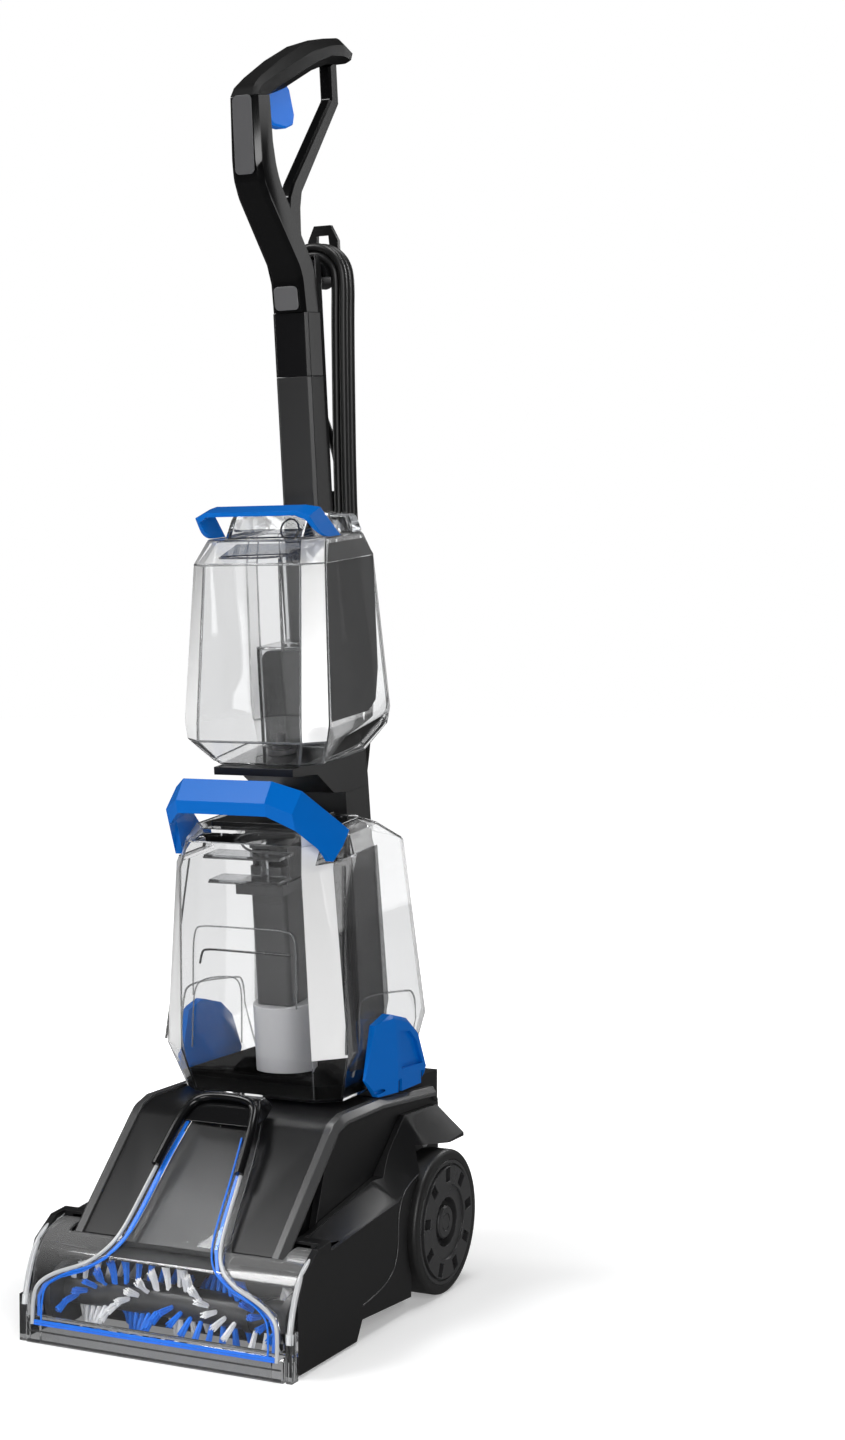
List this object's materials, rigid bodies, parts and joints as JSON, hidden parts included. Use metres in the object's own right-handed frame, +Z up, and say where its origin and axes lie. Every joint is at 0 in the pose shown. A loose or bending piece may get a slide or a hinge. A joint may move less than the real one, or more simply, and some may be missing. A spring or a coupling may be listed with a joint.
{
  "type": "upright carpet cleaner",
  "caption": "Upright carpet washer: wheeled foot with clear suction nozzle and spinning brush, reclining body with dirty and clean tanks, loop handle with trigger, and a cord on hooks.",
  "frame": {"origin": "on the floor under the middle of the machine without its cord", "axes": "+Z up, -Y the front of the nozzle, +X the machine's left-right axis"},
  "size_m": [0.277, 0.3759, 1.1452],
  "materials": {
    "black_gloss": "polished moulded plastic",
    "black_satin": "satin moulded plastic",
    "black_tough": "hidden structural plastic",
    "pole_satin": "satin tube",
    "grip_soft": "soft-touch grip",
    "clear": "water-clear moulding",
    "clear_smoke": "smoke-tinted clear moulding",
    "blue": "gloss blue moulding",
    "blue_seal": "blue gasket",
    "duct_grey": "dark grey moulding",
    "collar_grey": "light grey moulding",
    "tyre": "tyre",
    "rim_grey": "dark wheel plastic",
    "bristle_white": "bristles",
    "bristle_blue": "bristles",
    "steel": "pins and screws",
    "motor_metal": "motor and pump cans",
    "belt_rubber": "drive belt",
    "cord_jacket": "cord jacket"
  },
  "bodies": {
    "foot": {"base_pan": "black_tough", "foot_cover": "black_satin", "cheeks": "black_satin", "edge_rails": "black_satin", "side_panels": "black_satin", "brush_chamber": "duct_grey", "suction_motor": "motor_metal", "brush_motor": "motor_metal", "pump": "motor_metal", "spray_bar": "black_tough", "base_screws": "steel", "foot_pins": "steel", "drive_belt": "belt_rubber"},
    "nozzle": {"nozzle_cover": "clear", "channel_window": "clear", "channel_seal": "blue_seal", "suction_lip": "clear", "nozzle_grip": "clear_smoke"},
    "brush": {"brush_core": "duct_grey", "bristles_white": "bristle_white", "bristles_blue": "bristle_blue"},
    "motor_pulley": {"motor_pulley": "steel"},
    "wheel_right": {"tyre_right": "tyre", "rim_right": "rim_grey", "hub_cap_right": "rim_grey"},
    "wheel_left": {"tyre_left": "tyre", "rim_left": "rim_grey", "hub_cap_left": "rim_grey"},
    "upright": {"yoke": "black_tough", "spine_front": "black_satin", "spine_back": "black_satin", "pole_front": "pole_satin", "pole_back": "pole_satin", "pole_collar": "pole_satin", "handle_arm": "black_gloss", "handle_grip": "grip_soft", "handle_strut": "black_gloss", "cord_hook_lower": "black_satin", "cord_hank": "cord_jacket", "cord_lead": "cord_jacket", "plug": "cord_jacket", "strain_relief": "cord_jacket", "pivot_pins": "steel"},
    "hook_swivel": {"cord_hook_upper": "black_satin"},
    "power_switch": {"power_switch": "black_gloss"},
    "trigger": {"trigger": "blue"},
    "clean_tank": {"clean_tank_shell": "clear", "outlet_valve": "duct_grey", "clean_tank_handle": "blue"},
    "filler_cap": {"filler_cap": "clear_smoke"},
    "dirty_tank": {"dirty_tank_shell": "clear", "dirty_tank_floor": "black_gloss", "dirty_tank_lid": "black_gloss", "riser_duct": "duct_grey", "riser_collar": "collar_grey", "separator": "clear_smoke", "bail_handle": "blue"},
    "side_latch_right": {"side_latch_right": "blue"},
    "side_latch_left": {"side_latch_left": "blue"}
  },
  "joints": [
    {"name": "recline", "type": "hinge", "parent": "foot", "child": "upright", "pos_m": [0, 0.1262, 0.128], "axis": [-1, 0, 0], "range_deg": [0, 55]},
    {"name": "wheel_right_spin", "type": "hinge", "parent": "foot", "child": "wheel_right", "pos_m": [0.124, 0.0947, 0.065], "axis": [1, 0, 0], "continuous": true},
    {"name": "wheel_left_spin", "type": "hinge", "parent": "foot", "child": "wheel_left", "pos_m": [-0.124, 0.0947, 0.065], "axis": [1, 0, 0], "continuous": true},
    {"name": "brush_spin", "type": "hinge", "parent": "foot", "child": "brush", "pos_m": [0, -0.1383, 0.037], "axis": [1, 0, 0], "continuous": true},
    {"name": "pulley_spin", "type": "hinge", "parent": "foot", "child": "motor_pulley", "pos_m": [0.07, -0.0623, 0.052], "axis": [1, 0, 0], "continuous": true},
    {"name": "nozzle_lift", "type": "slide", "parent": "foot", "child": "nozzle", "axis": [0, -0.6909, 0.723], "range_m": [0, 0.06]},
    {"name": "clean_tank_lift", "type": "slide", "parent": "upright", "child": "clean_tank", "axis": [0, -0.1045, 0.9945], "range_m": [0, 0.12]},
    {"name": "filler_cap_lift", "type": "slide", "parent": "clean_tank", "child": "filler_cap", "axis": [0, -0.1045, 0.9945], "range_m": [0, 0.04]},
    {"name": "dirty_tank_slide", "type": "slide", "parent": "upright", "child": "dirty_tank", "axis": [0, -0.9397, 0.342], "range_m": [0, 0.1]},
    {"name": "latch_right_tilt", "type": "hinge", "parent": "upright", "child": "side_latch_right", "pos_m": [0.0992, 0.0817, 0.1916], "axis": [0, 1, 0], "range_deg": [0, 12], "stiffness_Nm_per_rad": 0.4, "springref_deg": -2.86},
    {"name": "latch_left_tilt", "type": "hinge", "parent": "upright", "child": "side_latch_left", "pos_m": [-0.0992, 0.0817, 0.1916], "axis": [0, -1, 0], "range_deg": [0, 12], "stiffness_Nm_per_rad": 0.4, "springref_deg": -2.86},
    {"name": "hook_turn", "type": "hinge", "parent": "upright", "child": "hook_swivel", "pos_m": [0, 0.10916, 0.92157], "axis": [0, 0.9945, 0.1045], "range_deg": [0, 180]},
    {"name": "switch_rock", "type": "hinge", "parent": "upright", "child": "power_switch", "pos_m": [0, 0.15789, 0.43298], "axis": [1, 0, 0], "range_deg": [0, 10]},
    {"name": "trigger_squeeze", "type": "hinge", "parent": "upright", "child": "trigger", "pos_m": [0, 0.0069, 1.0717], "axis": [1, 0, 0], "range_deg": [0, 12], "stiffness_Nm_per_rad": 0.5, "springref_deg": -5.73}
  ],
  "couplings": [
    {"joint": "pulley_spin", "follows": "brush_spin", "ratio": 1.5556}
  ]
}
